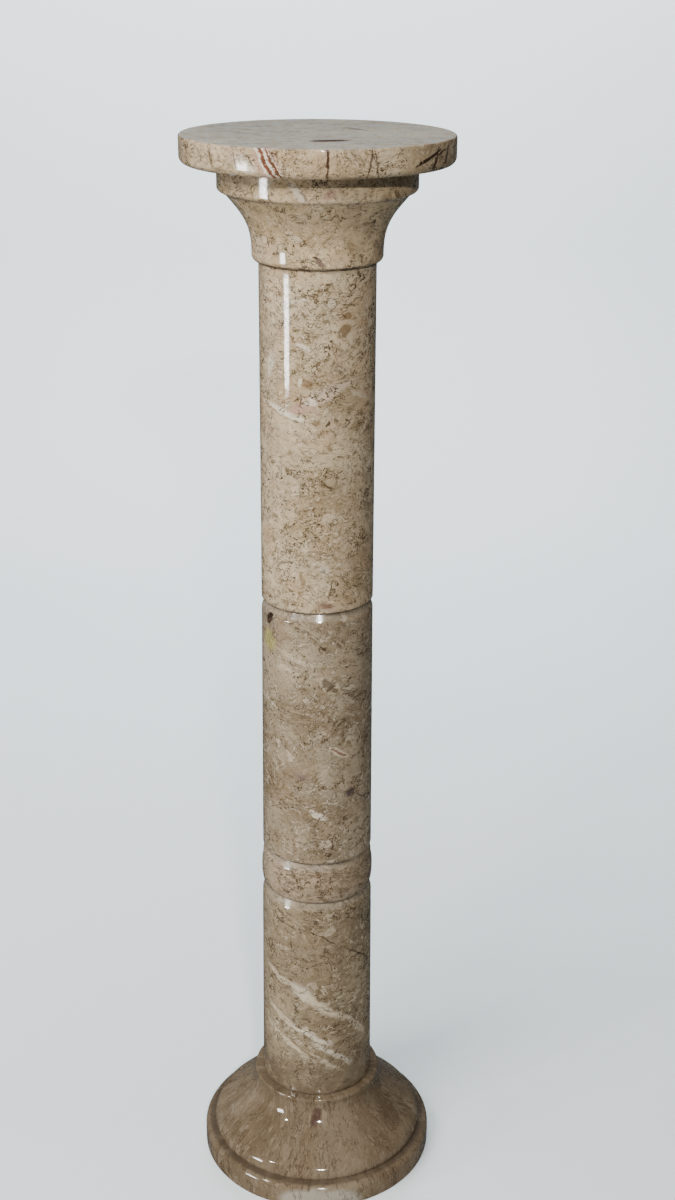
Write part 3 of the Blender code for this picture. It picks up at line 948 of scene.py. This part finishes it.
# Top slab
slabShape = {"radius": 0.1140, "topEdge": 0.0018, "lowerEdge": 0.0060, "sides": 320}
slabFinish = dict(upperStone, **{
    "light": (0.60, 0.472, 0.305), "dark": (0.335, 0.246, 0.142), "offset": (0.3, 0.9, 0.6),
    "rough": (0.05, 0.13),
})
slabMarks = {
    "stripeGround": {"at": (-20.1, 0.9888, 0.114), "size": (0.021, 0.046), "tilt": -27,
        "colour": rosePink, "strength": 0.8, "soft": 0.3},
    "stripePaleLeft": {"at": (-22.4, 0.989, 0.114), "size": (0.0028, 0.04), "tilt": -27,
        "colour": streakPale, "strength": 0.95, "soft": 0.4},
    "stripeRedLeft": {"at": (-20.8, 0.989, 0.114), "size": (0.0038, 0.042), "tilt": -27,
        "colour": stripeRed, "strength": 0.95, "soft": 0.4},
    "stripePaleRight": {"at": (-19.2, 0.9885, 0.114), "size": (0.003, 0.04), "tilt": -28,
        "colour": streakPale, "strength": 0.95, "soft": 0.4},
    "stripeRedRight": {"at": (-17.4, 0.988, 0.114), "size": (0.0034, 0.040), "tilt": -29,
        "colour": stripeRed, "strength": 0.95, "soft": 0.4},
    "stripeEnd": {"at": (-16.5, 0.9875, 0.114), "size": (0.0014, 0.036), "tilt": -30,
        "colour": streakPale, "strength": 0.8, "soft": 0.4},
    "paleCorner": {"at": (-28, 0.985, 0.114), "size": (0.016, 0.016), "tilt": 20,
        "colour": streakPale, "strength": 0.6, "soft": 0.6, "edge": "coarse"},
    "paleZone": {"at": (-33, 0.992, 0.114), "size": (0.03, 0.014), "tilt": 8,
        "colour": (0.44, 0.33, 0.24), "strength": 0.6, "soft": 0.5, "edge": "coarse"},
    "zoneLineOne": {"at": (-34, 0.989, 0.114), "size": (0.0018, 0.018), "tilt": -18,
        "colour": veinBrown, "strength": 0.75, "soft": 0.5},
    "zoneLineTwo": {"at": (-27, 0.99, 0.114), "size": (0.0018, 0.02), "tilt": -30,
        "colour": veinBrown, "strength": 0.75, "soft": 0.5},
    "leftSmear": {"at": (-47, 0.99, 0.114), "size": (0.0045, 0.02), "tilt": -20,
        "colour": veinBrown, "strength": 0.7, "soft": 0.6, "edge": "coarse"},
    "darkRedVein": {"at": (3.7, 0.989, 0.114), "size": (0.004, 0.034),
        "colour": (0.045, 0.020, 0.014), "strength": 0.95, "soft": 0.5},
    "greyVeinOne": {"at": (21, 0.989, 0.114), "size": (0.0028, 0.034), "tilt": 8,
        "colour": (0.09, 0.06, 0.04), "strength": 0.85, "soft": 0.5},
    "greyVeinTwo": {"at": (23.6, 0.989, 0.114), "size": (0.0022, 0.034), "tilt": -8,
        "colour": (0.10, 0.07, 0.05), "strength": 0.8, "soft": 0.5},
    "crackLong": {"at": (50.5, 0.9893, 0.114), "size": (0.042, 0.0032), "tilt": -19,
        "colour": darkBrown, "strength": 1.0, "soft": 0.4, "edge": "smooth"},
    "crackLow": {"at": (45, 0.9865, 0.114), "size": (0.02, 0.0026), "tilt": -16,
        "colour": darkBrown, "strength": 1.0, "soft": 0.4},
    "crackSteep": {"at": (54.5, 0.988, 0.114), "size": (0.0034, 0.024), "tilt": 22,
        "colour": darkBrown, "strength": 1.0, "soft": 0.4},
    "crackEdge": {"at": (64, 0.99, 0.114), "size": (0.0036, 0.02), "tilt": 16,
        "colour": darkBrown, "strength": 0.95, "soft": 0.5},
    "crackBranch": {"at": (60, 0.993, 0.114), "size": (0.02, 0.0024), "tilt": -10,
        "colour": darkBrown, "strength": 0.95, "soft": 0.4},
}
slabTopMarks = {
    "topCrescent": {"at": (10, 1.0, 0.057), "size": (0.040, 0.034),
        "colour": (0.050, 0.028, 0.026), "strength": 0.9, "soft": 0.45, "depth": 0.0095},
    "topFaint": {"at": (134, 1.0, 0.0442), "size": (0.034, 0.02),
        "colour": (0.08, 0.055, 0.045), "strength": 0.6, "soft": 0.7, "depth": 0.006},
}
slabCuts = {
    "underChip": {"at": (-36, 0.9765, 0.1105), "size": (0.010, 0.008, 0.005), "tilt": 10,
                  "seed": (2.0, 7.7, 1.0), "roughness": 0.5, "lumps": 2.0},
}


def makeSlab(c):
    foot, top = heights("top_slab")
    profile = roundTop(c["radius"], top, c["topEdge"], 8) + roundFoot(c["radius"], foot, c["lowerEdge"], 16)
    worn = (top - 0.0005, top + 0.001, 0.0005, wornGrey, 0.78, 0.6)
    stone = dict(slabFinish, dullAbove=top - 0.0008, bands=[worn], overMarks=slabTopMarks)
    piece = turnPiece("slabStone", profile, marble("top_slab_marble", stone, slabMarks), c["sides"])
    cutPebbles(piece, slabCuts, freshMarble)
    place(piece, "top_slab", "top_slab_marble")


makeBase(baseShape)
makeLowerDrum()
makeRing(ringShape)
makeMiddleDrum()
makeUpperDrum()
makeCapital(capitalShape)
makeSlab(slabShape)
print("stage: pieces")
